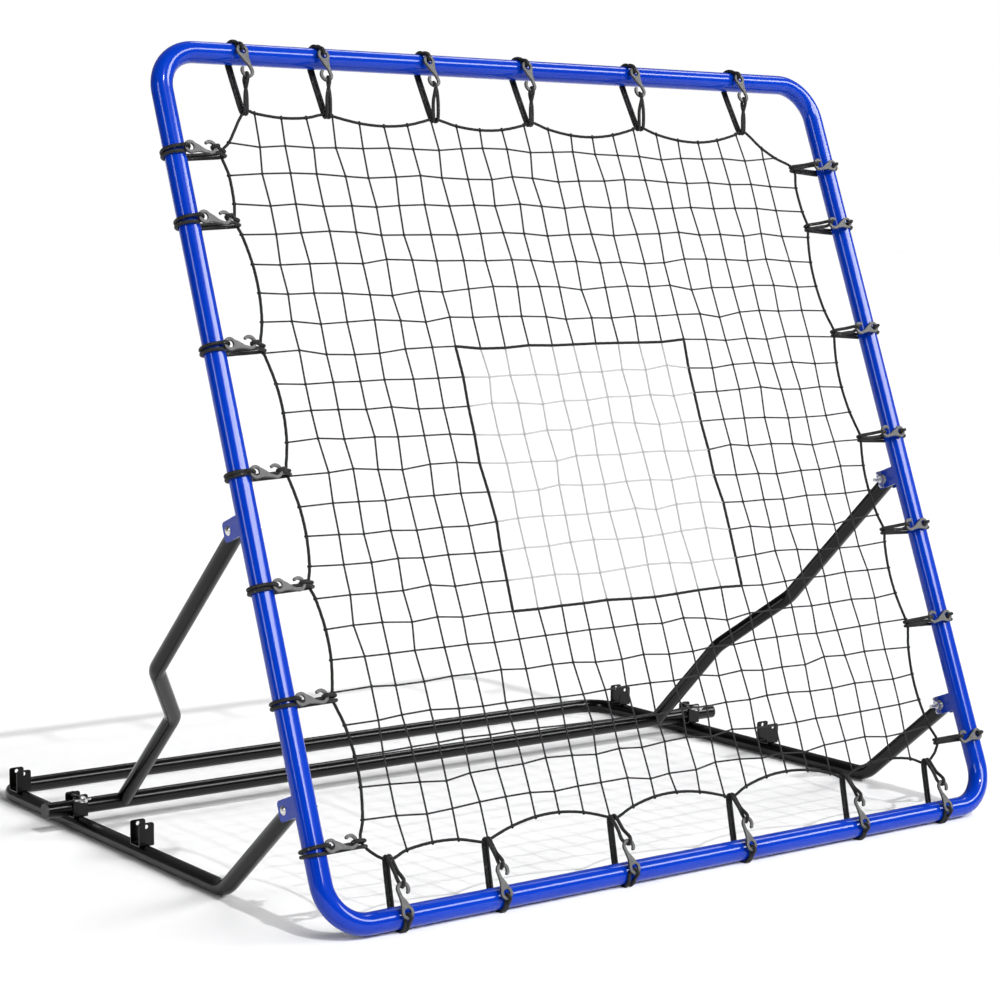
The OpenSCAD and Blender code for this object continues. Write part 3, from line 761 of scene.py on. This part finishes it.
def hook_template():
    """The S-hook flat on its back: the eye at the origin, the open hook along +x with its mouth at +y."""
    tip = 128
    middle = (HOOK_OUT_R + HOOK_IN_R) / 2
    tip_at = arc(HOOK_REACH, 0, middle, tip, tip, 1)[0]
    outline = arc(0, 0, EYE_R, 38, 292, 28)
    outline += [(0.013, -0.0076), (0.021, -0.0086)]
    outline += arc(HOOK_REACH, 0, HOOK_OUT_R, 246, 360 + tip, 30)
    outline += arc(*tip_at, (HOOK_OUT_R - HOOK_IN_R) / 2, tip, tip + 180, 8)[1:-1]
    outline += arc(HOOK_REACH, 0, HOOK_IN_R, 360 + tip, 248, 26)
    outline += [(0.023, -0.0034), (0.015, 0.0022)]
    data = bpy.data.curves.new("hook_outline", "CURVE")
    data.dimensions = "2D"
    data.fill_mode = "BOTH"
    data.extrude = HOOK_T / 2 - HOOK_BEVEL
    data.bevel_depth = HOOK_BEVEL
    data.bevel_resolution = 2
    data.offset = -HOOK_BEVEL
    for points in (outline, arc(0, 0, EYE_HOLE_R, 0, 345, 23)):
        spline = data.splines.new("POLY")
        spline.points.add(len(points) - 1)
        for p, (x, y) in zip(spline.points, points):
            p.co = (x, y, 0, 1)
        spline.use_cyclic_u = True
    shape = bpy.data.objects.new("hook_outline", data)
    bpy.context.scene.collection.objects.link(shape)
    mesh = bpy.data.meshes.new_from_object(shape.evaluated_get(bpy.context.evaluated_depsgraph_get()))
    verts = [v.co.copy() for v in mesh.vertices]
    faces = [tuple(p.vertices) for p in mesh.polygons]
    # Faces that are not the front or back get the second slot, which is painted shade on the hook's sides.
    flat = [0 if abs(p.normal.z) > 0.6 else 1 for p in mesh.polygons]
    bpy.data.objects.remove(shape)
    bpy.data.curves.remove(data)
    bpy.data.meshes.remove(mesh)
    return verts, faces, flat


def tie_path(side, sway):
    """One strand of a tie from the hook's eye round the tube and the net's rope to the mouth of the hook."""
    eye, plate, gap = side.eye, side.plate, side.gap
    rise = HOOK_T / 2 + TIE_R
    rim = eye - (EYE_R + EYE_HOLE_R) / 2
    begin = math.degrees(math.asin(max(-1, min(1, -rim / RING_R)))) + 28
    begin = min(begin, 84)
    finish = 180 + math.degrees(math.asin((RING_R - ROPE_RING_R) / gap))
    bend = eye + HOOK_REACH + (HOOK_OUT_R + HOOK_IN_R) / 2
    path = [(rim, plate - rise, 0.55)]
    for k in range(9):
        a = math.radians(begin + (finish - begin) * k / 8)
        path.append((-RING_R * math.sin(a), -RING_R * math.cos(a), 1.0))
    path.append((gap * 0.55, RING_R * 0.55 + ROPE_RING_R * 0.4, 0.95))
    for a in (-80, -30, 0, 30, 80):
        b = math.radians(a)
        path.append((gap + ROPE_RING_R * math.cos(b), -ROPE_RING_R * math.sin(b), 1.0))
    path.append(((gap + bend) / 2, (plate - ROPE_RING_R) / 2, 0.9))
    path.append((bend + 0.002, plate - rise * 0.95, 0.5))
    return [(u, v, w * PAIR + sway * math.sin(3.1 * i / len(path))) for i, (u, v, w) in enumerate(path)]


def loop_of(side):
    """The whole loop of cord: one strand over the front of the hook and one behind it."""
    sway = rng.uniform(-0.003, 0.003)
    front = tie_path(side, sway)
    rise = 2 * (HOOK_T / 2 + TIE_R)
    behind = [(u, v, sway - (w - sway)) for u, v, w in tie_path(side, sway)]
    behind[0] = (behind[0][0], behind[0][1] + rise, behind[0][2])
    behind[-1] = (behind[-1][0], behind[-1][1] + rise, behind[-1][2])
    mouth = (side.eye + HOOK_REACH + HOOK_IN_R - TIE_R * 1.1, side.plate, 0.0)
    eye = (side.eye - EYE_HOLE_R + TIE_R * 1.1, side.plate, 0.0)
    return front + [mouth] + behind[::-1] + [eye]


def add_ties():
    verts, faces, marks = hook_template()
    for side in SIDES:
        ties = Build()
        hooks = Build()
        for k in range(len(side.places)):
            path = [side.point(k, *p) for p in loop_of(side)]
            ties.tube(smooth(path, 0.0022, closed=True), TIE_R, sides=10, closed=True)
            tilt = math.radians(rng.uniform(-4, 4))
            placed = []
            for v in verts:
                along = v.x * math.cos(tilt) - v.y * math.sin(tilt)
                across = v.x * math.sin(tilt) + v.y * math.cos(tilt)
                placed.append(side.point(k, side.eye + along, side.plate - v.z, across))
            hooks.add(placed, faces, marks=marks)
        tie_piece = ties.object(f"elastic_ties_{side.name}", ELASTIC, floor=FLOOR_Z + 0.0003)
        # The second material is painted shade on the hooks' side faces.
        hook_piece = hooks.object(f"s_hooks_{side.name}", HOOK_FACE, HOOK_SIDE_PAINTED_SHADE)
        for piece, slot, node in ((tie_piece, "elastic_cord", "ties"), (hook_piece, "grey_plastic", "hooks")):
            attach(piece, "front_frame")
            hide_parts(f"{node}_{side.name}")


# ---------------------------------------------------------------- run

add_camera()
add_stage()
add_net()
add_ties()
